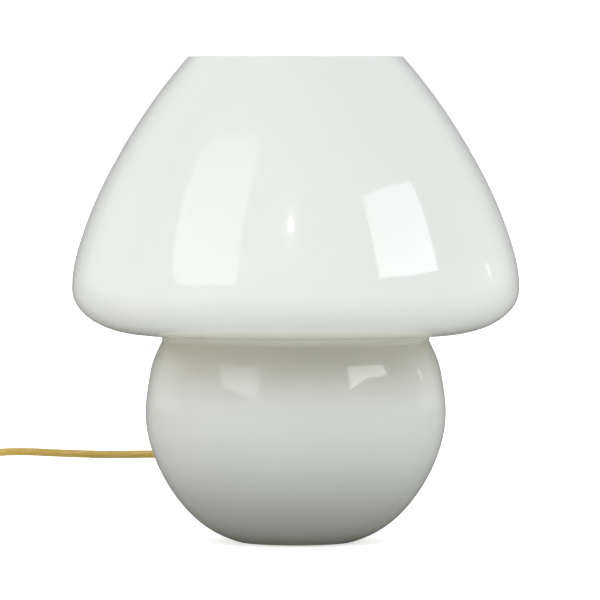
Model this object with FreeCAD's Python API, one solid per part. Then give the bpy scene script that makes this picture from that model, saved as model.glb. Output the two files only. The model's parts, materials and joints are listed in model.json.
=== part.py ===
# Mushroom table lamp. One blown opal glass is shade, neck and globe foot together. A folding cross
# bracket stands on the glass ledge inside the neck and carries a screw lampholder with its bulb.
# The mains lead leaves the globe through a grommet, and has a rocker switch and a flat plug on it.
# Millimetres, +Z up. The origin is on the table under the lamp's axis, and the viewer is at -Y.
import FreeCAD, Part
import math
import os

Vector = FreeCAD.Vector
UP = Vector(0, 0, 1)
ORIGIN = Vector(0, 0, 0)

# Glass: (radius, height) stations are on the outer face
LAMP_HEIGHT = 271.2
WALL = 3.2
FOOT_WALL = 5.5
RIM_RADIUS = 60.0
RIM_LEAN = 42.0
RIM_OVERSHOOT = 7.0
RIM_ROUND = 0.7
SHADE_RADIUS = 125.0
SHADE_WIDEST_Z = 141.8
DOME_STATIONS = [(120.2, 168.6), (109.8, 195.5), (95.4, 222.3), (77.8, 249.1)]
UNDERSIDE_Z = 116.4
UNDERSIDE_FLAT_RADIUS = 85.0
LEDGE_Z = UNDERSIDE_Z + WALL
NECK_RADIUS = 75.0
NECK_FILLET = 3.0
SHOULDER_LEAN = 26.0
GLOBE_WIDEST = (84.0, 72.5)
GLOBE_STATIONS = [(49.9, 8.2), (67.3, 25.6), (79.5, 48.5), GLOBE_WIDEST, (81.7, 92.7)]
FOOT_RADIUS = 32.0
FOOT_LIFT = 16.0
KICK_RADIUS = 24.0
KICK_DEPTH = 1.2

# Lead: where it leaves the glass, and the grommet that it leaves through
CORD_RADIUS = 2.3
CORD_LENGTH = 1800.0
HOLE_AZIMUTH = 130.0
HOLE_Z = 43.0
HOLE_RADIUS = 4.5
HOLE_GLASS_RADIUS = 77.3
CORD_BORE = 2.35
CORE_RADIUS = 1.1
GROMMET_FLANGE = 7.2
GROMMET_LIP = 6.0
GROMMET_END_RADIUS = 98.0
GROMMET_TIP = 3.3
RELIEF_RINGS = 4

# Cross bracket
BAR_WIDTH = 14.0
BAR_THICK = 1.5
BAR_REACH = 82.6
BAR_EYE = 12.0
BAR_TURN = 40.0
SLEEVE_SKIN = 0.9
SLEEVE_LENGTH = 14.0
NIPPLE_RADIUS = 5.0
NIPPLE_BORE = 3.8
NIPPLE_BOTTOM = 104.0
NUT_FLATS = 14.0
NUT_THICK = 3.0
WASHER_RADIUS = 9.0
WASHER_THICK = 1.0
NUT_Z = LEDGE_Z + SLEEVE_SKIN - WASHER_THICK - NUT_THICK
GRIP_RADIUS = 7.0
GRIP_BOTTOM = 96.0
GRIP_TOP = 113.0

# Lampholder (E27) and bulb (60 mm globe)
HOLDER_BOTTOM = 124.5
HOLDER_RADIUS = 19.2
HOLDER_SEAM = 152.0
HOLDER_TOP = 178.0
SET_SCREW_Z = HOLDER_BOTTOM + 2.2
CORE_START_Z = HOLDER_BOTTOM + 6.0
INSERT_BOTTOM = 136.0
INSERT_TOP = 146.0
INSERT_RADIUS = 15.8
THREAD_PITCH = 3.63
BULB_TIP = 149.0
BULB_RADIUS = 30.0
BULB_TOP = 254.0
BULB_WALL = 0.8
BULB_THREAD = 12.95

# What lies on the table: switch, coil and plug
SWITCH_AT = Vector(-241.0, 4.0, 0)
SWITCH_LENGTH = 64.0
SWITCH_WIDTH = 27.0
SWITCH_HEIGHT = 16.0
SWITCH_NECK = 8.0
SWITCH_SEAM = 8.0
SWITCH_SKIN = 2.0
SWITCH_CORD_Z = 7.0
SWITCH_POSTS = [(-8.3, -19.0), (8.3, 19.0)]
ROCKER_LENGTH = 22.0
ROCKER_WIDTH = 10.0
ROCKER_PIVOT_Z = 12.2
ROCKER_TILT = 7.0
COIL_AT = Vector(-215.0, -75.0, 0)
COIL_MEAN_RADIUS = 26.7
COIL_PITCH = 4.7
COIL_LAYER = 4.3
COIL_LAYERS = 4
PLUG_AT = Vector(-190.5, -32.0, 0)
PLUG_WIDTH = 35.0
PLUG_HEIGHT = 13.7
PLUG_LENGTH = 36.0
PLUG_AXIS_Z = 6.9
PIN_RADIUS = 2.0
PIN_LENGTH = 19.0
PIN_SPACING = 18.6

# Route of the lead, points chosen by hand: from the grommet level behind the foot and out to the
# left, then down to the switch on the table
LEAD_POINTS = [
    (-63.0, 75.1, 43.0), (-69.4, 82.8, 43.0), (-79.0, 89.5, 43.1), (-91.5, 94.0, 42.8),
    (-107.0, 96.5, 42.7), (-124.0, 97.0, 43.1), (-141.0, 98.4, 43.6), (-157.0, 99.2, 44.6),
    (-172.0, 98.6, 44.2), (-187.0, 95.5, 41.0), (-202.0, 90.0, 34.5), (-216.0, 83.0, 26.0),
    (-228.5, 74.5, 17.0), (-237.0, 64.5, 10.2), (-241.0, 52.0, 7.0), (-241.0, 40.5, 7.0),
]
MIDDLE_POINTS = [
    (-241.0, -32.5, 7.0), (-241.0, -41.5, 7.0), (-241.8, -49.0, 5.9), (-243.6, -56.5, 4.2),
    (-245.4, -63.5, 3.0),
]
END_POINTS = [
    (-181.6, -67.0, 9.2), (-182.8, -59.5, 8.6), (-186.3, -51.5, 7.6), (-189.6, -43.5, 6.9),
    (-190.5, -36.0, 6.9), (-190.5, -31.0, 6.9),
]


def polar(azimuth, radius, z):
    """Point at an azimuth in degrees from +X towards +Y."""
    angle = math.radians(azimuth)
    return Vector(radius * math.cos(angle), radius * math.sin(angle), z)


def at(radius, z):
    """Point of a profile in the XZ plane."""
    return Vector(radius, 0, z)


def line(a, b):
    return Part.LineSegment(a, b).toShape()


def arc(a, middle, b):
    return Part.Arc(a, middle, b).toShape()


def curve_through(points, start, finish):
    """Smooth curve through points that leaves along start and arrives along finish."""
    curve = Part.BSplineCurve()
    curve.interpolate(Points=points, InitialTangent=start, FinalTangent=finish)
    return curve


def lathe_edges(edges, angle=360.0, centre=ORIGIN):
    """Turn a closed profile about the vertical axis through centre."""
    face = Part.Face(Part.Wire(edges))
    return face.revolve(centre, UP, angle)


def lathe(points):
    """Turn a closed polygon of (radius, z) points about Z."""
    corners = [at(radius, z) for radius, z in points]
    return lathe_edges([line(a, b) for a, b in zip(corners, corners[1:] + corners[:1])])


def prism(points, offset):
    """Extrude a closed polygon of points by a vector."""
    outline = Part.makePolygon(points + points[:1])
    return Part.Face(outline).extrude(offset)


def block(x0, x1, y0, y1, z0, z1):
    return Part.makeBox(x1 - x0, y1 - y0, z1 - z0, Vector(x0, y0, z0))


def rod(radius, start, end):
    """Round bar from start to end."""
    return Part.makeCylinder(radius, (end - start).Length, start, end - start)


def stadium(half_length, half_width, z0, z1):
    """Upright plate along X with half-round ends."""
    straight = half_length - half_width
    plate = block(-straight, straight, -half_width, half_width, z0, z1)
    for side in (-1, 1):
        end = Part.makeCylinder(half_width, z1 - z0, Vector(side * straight, 0, z0))
        plate = plate.fuse(end)
    return plate.removeSplitter()


def rounded(solid, radius, wanted):
    """Fillet the edges that wanted(edge) picks."""
    return solid.makeFillet(radius, [edge for edge in solid.Edges if wanted(edge)])


def level_edge(z):
    """Test for edges that lie wholly at a height."""
    return lambda edge: abs(edge.BoundBox.ZMin - z) < 0.01 and abs(edge.BoundBox.ZMax - z) < 0.01


def edge_across(y):
    """Test for edges that lie wholly in the plane at y."""
    return lambda edge: abs(edge.BoundBox.YMin - y) < 0.01 and abs(edge.BoundBox.YMax - y) < 0.01


def turned(shape, azimuth):
    """Copy of a shape, turned about Z."""
    copy = shape.copy()
    copy.rotate(ORIGIN, UP, azimuth)
    return copy


def moved(shape, offset):
    copy = shape.copy()
    copy.translate(offset)
    return copy


def along_hole(shape):
    """Lay a piece turned about Z along the lead's hole, its z = 0 on the lamp's axis."""
    copy = shape.copy()
    copy.rotate(ORIGIN, Vector(0, 1, 0), 90)
    copy.rotate(ORIGIN, UP, HOLE_AZIMUTH)
    copy.translate(Vector(0, 0, HOLE_Z))
    return copy


def cord_tube(name, points, radius=CORD_RADIUS):
    """Tube along straight runs joined by tangent arcs, each as large as its two runs allow."""
    corners = [Vector(*point) for point in points]
    edges = []
    start = corners[0]
    radii = []
    for before, corner, after in zip(corners, corners[1:], corners[2:]):
        back = before - corner
        onward = after - corner
        reach = 0.45 * min(back.Length, onward.Length)
        turn = math.pi - back.getAngle(onward)
        bend = reach / math.tan(turn / 2)
        radii.append(bend)
        back.normalize()
        onward.normalize()
        inward = (back + onward).normalize()
        arc_start = corner + back * reach
        arc_end = corner + onward * reach
        to_middle = bend / math.cos(turn / 2) - bend
        edges.append(line(start, arc_start))
        edges.append(arc(arc_start, corner + inward * to_middle, arc_end))
        start = arc_end
    edges.append(line(start, corners[-1]))
    path = Part.Wire(edges)
    section = Part.Wire(Part.Circle(corners[0], corners[1] - corners[0], radius).toShape())
    tube = path.makePipeShell([section], True, False)
    expected = math.pi * radius ** 2 * path.Length
    print(f"{name}: length {path.Length:.1f}, radii {[round(r) for r in radii]},",
          f"volume / (section x length) {tube.Volume / expected:.4f}")
    return tube, path.Length


def glass_side(stations, start, finish, inset):
    """Outer wall curve through stations, and the inner one, moved in by inset(z)."""
    outer = curve_through([at(radius, z) for radius, z in stations], start, finish)
    inner_points = []
    for radius, z in stations:
        parameter = outer.parameter(at(radius, z))
        tangent = outer.tangent(parameter)[0]
        inner_points.append(at(radius, z) + Vector(-tangent.z, 0, tangent.x) * inset(z))
    inner = curve_through(inner_points, outer.tangent(outer.FirstParameter)[0],
                          outer.tangent(outer.LastParameter)[0])
    return outer, inner


def globe_inset(z):
    """Wall of the globe, thicker towards the foot."""
    below = max(0.0, 1 - z / GLOBE_WIDEST[1])
    return WALL + (FOOT_WALL - WALL) * below ** 2


def brim(inset):
    """Quarter ellipse from the flat underside out to the shade's widest edge."""
    centre = at(UNDERSIDE_FLAT_RADIUS, SHADE_WIDEST_Z)
    half_width = SHADE_RADIUS - UNDERSIDE_FLAT_RADIUS - inset
    half_height = SHADE_WIDEST_Z - UNDERSIDE_Z - inset
    ellipse = Part.Ellipse(centre + at(half_width, 0), centre + at(0, half_height), centre)
    return Part.Arc(ellipse, -math.pi / 2, 0)


def neck(centre, radius):
    """Arc of the neck crease, from the globe's shoulder to the level underside."""
    angles = [180 + SHOULDER_LEAN, (270 + SHOULDER_LEAN) / 2, 90]
    points = []
    for angle in angles:
        direction = at(math.cos(math.radians(angle)), math.sin(math.radians(angle)))
        points.append(centre + direction * radius)
    return Part.Arc(*points)


def glass_body():
    """One-piece glass: kicked-up foot, globe, creased neck, brim and dome, open on top."""
    lean = math.radians(SHOULDER_LEAN)
    shoulder = at(NECK_RADIUS, UNDERSIDE_Z - NECK_FILLET * (1 + math.sin(lean)))
    crease = shoulder + at(NECK_FILLET * math.cos(lean), NECK_FILLET * math.sin(lean))
    foot_rise = math.radians(FOOT_LIFT)
    stations = [(FOOT_RADIUS, 0)] + GLOBE_STATIONS + [(shoulder.x, shoulder.z)]
    globe_out, globe_in = glass_side(stations, at(math.cos(foot_rise), math.sin(foot_rise)),
                                     at(-math.sin(lean), math.cos(lean)), globe_inset)
    rim_lean = math.radians(RIM_LEAN)
    rim_way = at(-math.sin(rim_lean), math.cos(rim_lean))
    above_rim = at(RIM_RADIUS, LAMP_HEIGHT) + rim_way * RIM_OVERSHOOT
    stations = ([(SHADE_RADIUS, SHADE_WIDEST_Z)] + DOME_STATIONS
                + [(RIM_RADIUS, LAMP_HEIGHT), (above_rim.x, above_rim.z)])
    dome_out, dome_in = glass_side(stations, at(0, 1), rim_way, lambda z: WALL)
    neck_out = neck(crease, NECK_FILLET)
    neck_in = neck(crease, NECK_FILLET + WALL)
    brim_out = brim(0)
    brim_in = brim(WALL)
    kick = Part.Arc(at(0, KICK_DEPTH), at(KICK_RADIUS / 2, KICK_DEPTH * 0.75), at(KICK_RADIUS, 0))
    floor_end = globe_in.StartPoint
    floor_centre = at(0, floor_end.z)
    edges = [
        kick.toShape(), line(at(KICK_RADIUS, 0), at(FOOT_RADIUS, 0)), globe_out.toShape(),
        neck_out.toShape(), line(neck_out.EndPoint, brim_out.StartPoint), brim_out.toShape(),
        dome_out.toShape(), line(dome_out.EndPoint, dome_in.EndPoint), dome_in.toShape(),
        brim_in.toShape(), line(brim_in.StartPoint, neck_in.EndPoint), neck_in.toShape(),
        globe_in.toShape(), line(floor_end, floor_centre), line(floor_centre, at(0, KICK_DEPTH)),
    ]
    glass = lathe_edges(edges)
    glass = glass.common(Part.makeCylinder(SHADE_RADIUS + 5, LAMP_HEIGHT))
    glass = rounded(glass, RIM_ROUND, level_edge(LAMP_HEIGHT))
    hole = Part.makeCylinder(HOLE_RADIUS, SHADE_RADIUS / 2, at(0, SHADE_RADIUS / 2))
    return glass.cut(along_hole(hole))


def cord_grommet(glass):
    """Soft bush that grips the glass wall, with a ringed taper along the lead."""
    outside = HOLE_GLASS_RADIUS + 2.6
    inside = HOLE_GLASS_RADIUS - WALL - 3.4
    points = [(CORD_BORE, inside), (GROMMET_LIP - 1, inside), (GROMMET_LIP, inside + 1),
              (GROMMET_LIP, HOLE_GLASS_RADIUS - 1.6), (GROMMET_FLANGE, HOLE_GLASS_RADIUS - 1.6),
              (GROMMET_FLANGE, outside - 0.8), (GROMMET_FLANGE - 1, outside)]
    ring_pitch = (GROMMET_END_RADIUS - outside - 2) / RELIEF_RINGS
    for ring in range(RELIEF_RINGS):
        z = outside + ring * ring_pitch
        radius = 4.8 + (GROMMET_TIP - 4.8) * ring / RELIEF_RINGS
        points += [(radius, z), (radius, z + ring_pitch * 0.6),
                   (radius - 0.7, z + ring_pitch * 0.7), (radius - 0.7, z + ring_pitch)]
    points += [(GROMMET_TIP, GROMMET_END_RADIUS - 2), (GROMMET_TIP, GROMMET_END_RADIUS),
               (CORD_BORE, GROMMET_END_RADIUS)]
    return along_hole(lathe(points)).cut(glass)


def bracket_bar(lift):
    """Pressed strip with a round eye, its middle raised by lift, its arms stiffened by a bead."""
    top = LEDGE_Z + SLEEVE_SKIN + BAR_THICK
    step_in = BAR_EYE + 4
    step_out = step_in + 4 * max(lift, 0.5)
    side = [(-BAR_REACH, 0), (-step_out, 0), (-step_in, lift), (step_in, lift), (step_out, 0),
            (BAR_REACH, 0)]
    upper = [Vector(x, -BAR_EYE, top + z) for x, z in side]
    lower = [Vector(x, -BAR_EYE, top - BAR_THICK + z) for x, z in reversed(side)]
    if lift == 0:
        strip = block(-BAR_REACH, BAR_REACH, -BAR_EYE, BAR_EYE, top - BAR_THICK, top)
    else:
        strip = prism(upper + lower, Vector(0, 2 * BAR_EYE, 0))
    plan_depth = 4 * BAR_THICK
    plan = stadium(BAR_REACH, BAR_WIDTH / 2, top - plan_depth, top + plan_depth)
    eye = Part.makeCylinder(BAR_EYE, 2 * plan_depth, Vector(0, 0, top - plan_depth))
    bar = strip.common(plan.fuse(eye))
    for way in (-1, 1):
        bead_start = Vector(way * (step_out + 4), 0, top - 1.2)
        bead_end = Vector(way * (BAR_REACH - SLEEVE_LENGTH - 5), 0, top - 1.2)
        bead = rod(2.2, bead_start, bead_end)
        for end in (bead_start, bead_end):
            bead = bead.fuse(Part.makeSphere(2.2, end))
        bar = bar.fuse(bead.common(block(-BAR_REACH, BAR_REACH, -3, 3, top - 0.3, top + 2)))
    hole_start = at(0, top - 2 * plan_depth)
    hole = Part.makeCylinder(NIPPLE_RADIUS + 0.1, 4 * plan_depth, hole_start)
    return bar.cut(hole).removeSplitter()


def bracket_sleeves(bars):
    """Four soft sleeves over the bar ends; their undersides rest on the glass ledge."""
    bottom = LEDGE_Z
    plate = stadium(BAR_REACH + SLEEVE_SKIN, BAR_WIDTH / 2 + SLEEVE_SKIN, bottom,
                    bottom + BAR_THICK + 2 * SLEEVE_SKIN)
    inner = BAR_REACH + SLEEVE_SKIN - SLEEVE_LENGTH
    plate = rounded(plate, 0.7, level_edge(bottom + BAR_THICK + 2 * SLEEVE_SKIN))
    sleeve = plate.common(block(inner, BAR_REACH + 9, -10, 10, bottom - 1, bottom + 9))
    sleeves = []
    for bar, azimuth in ((bars[0], BAR_TURN), (bars[1], BAR_TURN + 90)):
        for way in (0, 180):
            sleeves.append(turned(sleeve, azimuth + way).cut(bar))
    return Part.makeCompound(sleeves)


def washer(bottom):
    disc = Part.makeCylinder(WASHER_RADIUS, WASHER_THICK, at(0, bottom))
    return disc.cut(Part.makeCylinder(NIPPLE_RADIUS + 0.1, WASHER_THICK, at(0, bottom)))


def hex_nut(bottom):
    """Thin hexagon nut with bevelled corners."""
    corner = NUT_FLATS / 2 / math.cos(math.radians(30))
    points = [polar(60 * i, corner, bottom) for i in range(6)]
    nut = prism(points, Vector(0, 0, NUT_THICK))
    bevel = lathe([(0, bottom), (NUT_FLATS / 2, bottom), (corner + 0.2, bottom + 0.7),
                   (corner + 0.2, bottom + NUT_THICK - 0.7), (NUT_FLATS / 2, bottom + NUT_THICK),
                   (0, bottom + NUT_THICK)])
    return nut.common(bevel).cut(Part.makeCylinder(NIPPLE_RADIUS, NUT_THICK, at(0, bottom)))


def bracket_nipple(top):
    tube = Part.makeCylinder(NIPPLE_RADIUS, top - NIPPLE_BOTTOM, at(0, NIPPLE_BOTTOM))
    return tube.cut(Part.makeCylinder(NIPPLE_BORE, top - NIPPLE_BOTTOM, at(0, NIPPLE_BOTTOM)))


def cord_grip():
    """Plastic grip on the nipple's lower end; its side screw presses on the lead."""
    grip = lathe([(CORD_BORE, GRIP_BOTTOM), (GRIP_RADIUS - 1.5, GRIP_BOTTOM),
                  (GRIP_RADIUS, GRIP_BOTTOM + 1.5), (GRIP_RADIUS, GRIP_TOP - 1),
                  (GRIP_RADIUS - 1, GRIP_TOP), (NIPPLE_RADIUS, GRIP_TOP),
                  (NIPPLE_RADIUS, NIPPLE_BOTTOM), (CORD_BORE, NIPPLE_BOTTOM)])
    boss = rod(3.4, polar(BAR_TURN, 4.5, GRIP_BOTTOM + 4.5), polar(BAR_TURN, 9, GRIP_BOTTOM + 4.5))
    return grip.fuse(boss).cut(grip_screw_space())


def grip_screw_space():
    height = GRIP_BOTTOM + 4.5
    return rod(1.75, polar(BAR_TURN, CORD_RADIUS, height), polar(BAR_TURN, 20, height))


def slotted_screw(radius, head_radius, start, end, head=1.6):
    """Screw with a slotted cheese head beyond end."""
    way = (end - start).normalize()
    screw = rod(radius, start, end).fuse(rod(head_radius, end, end + way * head))
    across = way.cross(UP)
    if across.Length < 0.1:
        across = Vector(1, 0, 0)
    across.normalize()
    third = way.cross(across)
    slot_start = end + way * (head * 0.5) - across * head_radius - third * 0.3
    slot = Part.makePolygon([slot_start, slot_start + across * 2 * head_radius,
                             slot_start + across * 2 * head_radius + third * 0.6,
                             slot_start + third * 0.6, slot_start])
    return screw.cut(Part.Face(slot).extrude(way * head))


def cord_grip_screw():
    height = GRIP_BOTTOM + 4.5
    return slotted_screw(1.7, 2.8, polar(BAR_TURN, CORD_RADIUS + 0.05, height),
                         polar(BAR_TURN, 9, height))


def holder_cap():
    """Moulded lower half of the lampholder: threaded boss, domed shoulder and fine grip ribs."""
    shoulder_z = HOLDER_BOTTOM + 12.5
    edges = [
        line(at(NIPPLE_RADIUS, HOLDER_BOTTOM), at(8, HOLDER_BOTTOM)),
        line(at(8, HOLDER_BOTTOM), at(8, HOLDER_BOTTOM + 4)),
        arc(at(8, HOLDER_BOTTOM + 4), at(16, HOLDER_BOTTOM + 6.6), at(HOLDER_RADIUS, shoulder_z)),
        line(at(HOLDER_RADIUS, shoulder_z), at(HOLDER_RADIUS, HOLDER_SEAM)),
        line(at(HOLDER_RADIUS, HOLDER_SEAM), at(16.9, HOLDER_SEAM)),
        line(at(16.9, HOLDER_SEAM), at(16.9, INSERT_TOP)),
        line(at(16.9, INSERT_TOP), at(INSERT_RADIUS, INSERT_TOP)),
        line(at(INSERT_RADIUS, INSERT_TOP), at(INSERT_RADIUS, INSERT_BOTTOM)),
        line(at(INSERT_RADIUS, INSERT_BOTTOM), at(14, INSERT_BOTTOM)),
        line(at(14, INSERT_BOTTOM), at(8, HOLDER_BOTTOM + 5.5)),
        line(at(8, HOLDER_BOTTOM + 5.5), at(NIPPLE_RADIUS, HOLDER_BOTTOM + 5.5)),
        line(at(NIPPLE_RADIUS, HOLDER_BOTTOM + 5.5), at(NIPPLE_RADIUS, HOLDER_BOTTOM)),
    ]
    cap = lathe_edges(edges)
    ribs = []
    for i in range(24):
        foot = polar(15 * i, HOLDER_RADIUS - 0.1, shoulder_z + 2)
        ribs.append(Part.makeCylinder(0.6, HOLDER_SEAM - shoulder_z - 4, foot))
    cap = cap.fuse(ribs)
    return cap.cut(rod(1.5, polar(BAR_TURN, 4, SET_SCREW_Z), polar(BAR_TURN, 12, SET_SCREW_Z)))


def holder_set_screw():
    return rod(1.5, polar(BAR_TURN, NIPPLE_RADIUS, SET_SCREW_Z), polar(BAR_TURN, 8.6, SET_SCREW_Z))


def holder_insert():
    """Ceramic block with two wire holes, two screw holes and a recess for the contacts."""
    insert = lathe([(2.5, INSERT_BOTTOM), (INSERT_RADIUS, INSERT_BOTTOM),
                    (INSERT_RADIUS, INSERT_TOP), (13.9, INSERT_TOP), (13.9, INSERT_TOP - 2),
                    (2.5, INSERT_TOP - 2)])
    for side in (0, 180):
        wire_hole = rod(1.6, polar(side, 8, INSERT_BOTTOM - 1), polar(side, 8, INSERT_BOTTOM + 5))
        screw_hole = rod(1.5, polar(side, 8, INSERT_BOTTOM + 4),
                         polar(side, INSERT_RADIUS + 1, INSERT_BOTTOM + 4))
        insert = insert.cut([wire_hole, screw_hole])
    return insert


def holder_terminal_screws():
    screws = []
    for side in (0, 180):
        screws.append(rod(1.5, polar(side, 9.5, INSERT_BOTTOM + 4),
                          polar(side, INSERT_RADIUS - 0.4, INSERT_BOTTOM + 4)))
    return Part.makeCompound(screws)


def thread_rings(radius, depth, bottom, top):
    """Rolled thread drawn as rings: (radius, z) points from bottom to top."""
    points = []
    count = int((top - bottom) / THREAD_PITCH)
    pitch = (top - bottom) / count
    for i in range(count):
        points += [(radius - depth, bottom + i * pitch), (radius, bottom + (i + 0.5) * pitch)]
    return points + [(radius - depth, top)]


def holder_shell():
    """Thin rolled shell that the bulb screws into, also the holder's side contact."""
    floor = INSERT_TOP - 2
    crest = BULB_THREAD + 1.0
    inner = thread_rings(crest, 0.75, 152, 172)
    outer = [(radius + 0.35, z) for radius, z in inner]
    points = [(9, floor), (13.8, floor), (13.8, 150)] + outer
    points += list(reversed(inner)) + [(13.3, 150), (13.3, floor + 0.5), (9, floor + 0.5)]
    return lathe(points)


def holder_skirt():
    """Moulded sleeve that screws into the cap and clamps the ceramic."""
    points = [(14.55, INSERT_TOP + 0.05), (16.85, INSERT_TOP + 0.05), (16.85, HOLDER_SEAM),
              (HOLDER_RADIUS, HOLDER_SEAM), (HOLDER_RADIUS, HOLDER_SEAM + 3),
              (18.3, HOLDER_SEAM + 4)]
    for i in range(3):
        z = HOLDER_SEAM + 8 + 3.6 * i
        points += [(18.3, z), (19.0, z + 0.9), (19.0, z + 1.3), (18.3, z + 2.2)]
    points += [(18.0, HOLDER_TOP - 1), (17.3, HOLDER_TOP), (15.3, HOLDER_TOP),
               (14.55, HOLDER_TOP - 1)]
    return lathe(points)


def holder_center_contact():
    """Springy strip, screwed down at one end and bowed up under the bulb's tip."""
    floor = INSERT_TOP - 2
    peak = BULB_TIP - 0.3
    side = [(-8, floor), (-3.5, floor), (-1.5, peak - 0.5), (3.5, peak - 0.5), (4.5, floor + 2)]
    under = [Vector(x, -2.5, z) for x, z in side]
    over = [Vector(x + 0.1, -2.5, z + 0.5) for x, z in reversed(side)]
    return prism(under + over, Vector(0, 5, 0))


def core(side):
    """One insulated core from the sheath's end to its terminal."""
    route = [(1.2, 0), (1.2, 1.8), (3.4, 3.4), (6.6, 4.0), (8.0, 6.0), (8.0, 9.6)]
    points = [(side * x, 0, CORE_START_Z + rise) for x, rise in route]
    return cord_tube("core", points, CORE_RADIUS)[0]


def bulb_glass():
    """Pear-shaped envelope, thin all round."""
    equator = BULB_TOP - BULB_RADIUS
    stations = [(12.6, 176.0), (15.6, 190.0), (25.2, 208.5), (BULB_RADIUS, equator)]
    outer, inner = glass_side(stations, at(0.05, 1), at(0, 1), lambda z: BULB_WALL)

    def crown(radius):
        diagonal = radius * math.sqrt(0.5)
        return arc(at(radius, equator), at(diagonal, equator + diagonal), at(0, equator + radius))

    edges = [outer.toShape(), crown(BULB_RADIUS),
             line(at(0, BULB_TOP), at(0, BULB_TOP - BULB_WALL)), crown(BULB_RADIUS - BULB_WALL),
             inner.toShape(), line(inner.StartPoint, outer.StartPoint)]
    return lathe_edges(edges)


def bulb_cap():
    """Thin metal cap with the rolled thread, flared to hold the glass."""
    thread = thread_rings(BULB_THREAD, 0.75, 155, 172)
    points = [(7.5, 152.8), (8.2, 152.4)] + thread
    points += [(12.6, 173.2), (13.3, 175.2), (13.3, 177.5), (12.75, 177.5), (12.75, 175.9),
               (11.7, 174), (11.7, 155.6), (7.5, 153.6)]
    return lathe(points)


def bulb_insulator():
    return lathe([(0, 150.4), (4.9, 150.4), (7.4, 152.9), (7.4, 154.6), (0, 154.6)])


def bulb_tip():
    return lathe([(0, BULB_TIP), (3.2, BULB_TIP), (4.6, BULB_TIP + 0.8), (4.6, 150.4), (0, 150.4)])


def bulb_stem():
    """Glass mount inside the bulb, flared where it meets the neck."""
    return lathe([(0, 177), (10.5, 177), (10.5, 178), (6, 180), (3.6, 184), (3.2, 198),
                  (4.2, 199.5), (4.2, 201), (1.4, 202.5), (1.2, 216), (2.2, 217), (2.2, 218.5),
                  (0, 218.5)])


def bulb_wires():
    """Two lead-in wires and the filament bow between their tips."""
    tips = [Vector(side * 13, 0, 222) for side in (-1, 1)]
    wires = []
    for side, tip in zip((-1, 1), tips):
        wires.append(rod(0.4, Vector(side * 2.6, 0, 201.2), tip))
    bow = Part.Wire(Part.Arc(tips[0], Vector(0, 9, 223.5), tips[1]).toShape())
    way = bow.Edges[0].tangentAt(bow.Edges[0].FirstParameter)
    section = Part.Wire(Part.Circle(tips[0], way, 0.5).toShape())
    filament = bow.makePipeShell([section], True, False)
    return Part.makeCompound([wires[0].fuse([wires[1], filament])])


def switch_form(inset):
    """Outer form of the switch, or its hollow: a waisted plan under an arched top."""
    half_length = SWITCH_LENGTH / 2 - inset
    half_width = SWITCH_WIDTH / 2 - inset
    end_width = 7.0 - inset
    base = -1.0 if inset == 0 else inset
    plan = []
    for side in (-1, 1):
        curve = curve_through([Vector(side * end_width, -half_length, base),
                               Vector(side * half_width, 0, base),
                               Vector(side * end_width, half_length, base)],
                              Vector(side * 0.9, 1, 0), Vector(-side * 0.9, 1, 0))
        plan.append(curve.toShape())
    ends = []
    for y in (-half_length, half_length):
        ends.append(line(Vector(-end_width, y, base), Vector(end_width, y, base)))
    outline = Part.Wire([plan[0], ends[1], plan[1], ends[0]])
    body = Part.Face(outline).extrude(Vector(0, 0, SWITCH_HEIGHT + 4))
    top = SWITCH_HEIGHT - inset
    end_top = 11.5 - inset
    bottom = inset
    arch = arc(Vector(-30, -half_length, end_top), Vector(-30, 0, top),
               Vector(-30, half_length, end_top))
    sides = [line(Vector(-30, -half_length, bottom), Vector(-30, -half_length, end_top)), arch,
             line(Vector(-30, half_length, end_top), Vector(-30, half_length, bottom)),
             line(Vector(-30, half_length, bottom), Vector(-30, -half_length, bottom))]
    profile = Part.Face(Part.Wire(sides)).extrude(Vector(60, 0, 0))
    return body.common(profile)


def switch_necks():
    """Tapered necks at both ends, where the lead goes in."""
    necks = []
    for way in (-1, 1):
        root = Vector(0, way * (SWITCH_LENGTH / 2 - 1), SWITCH_CORD_Z)
        necks.append(Part.makeCone(5.2, 3.9, SWITCH_NECK + 1, root, Vector(0, way, 0)))
    return necks


def switch_case():
    """Outer form with necks and rounded edges, and the spaces inside."""
    outer = switch_form(0)
    tall = [edge for edge in outer.Edges if edge.BoundBox.ZLength > 8 and edge.BoundBox.YLength < 1]
    outer = outer.makeFillet(2.5, tall)
    outer = outer.fuse(switch_necks()).removeSplitter()
    bore = rod(CORD_BORE, Vector(0, -60, SWITCH_CORD_Z), Vector(0, 60, SWITCH_CORD_Z))
    space = switch_form(SWITCH_SKIN).fuse(bore)
    return outer, space


def switch_base(outer, space):
    """Lower half, with posts for the two case screws."""
    lower = block(-40, 40, -60, 60, 0, SWITCH_SEAM)
    posts = [Part.makeCylinder(3.2, SWITCH_SEAM - 0.5, Vector(x, y, 0.5)) for x, y in SWITCH_POSTS]
    shell = outer.cut(space).common(lower).fuse(posts)
    for x, y in SWITCH_POSTS:
        shell = shell.cut(Part.makeCylinder(1.5, 30, Vector(x, y, -5)))
        shell = shell.cut(Part.makeCylinder(2.6, 2, Vector(x, y, 0)))
    return shell.common(outer)


def rocker_window():
    return block(-ROCKER_WIDTH / 2 - 0.5, ROCKER_WIDTH / 2 + 0.5,
                 -ROCKER_LENGTH / 2 - 0.6, ROCKER_LENGTH / 2 + 0.6, 0, 30)


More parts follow.
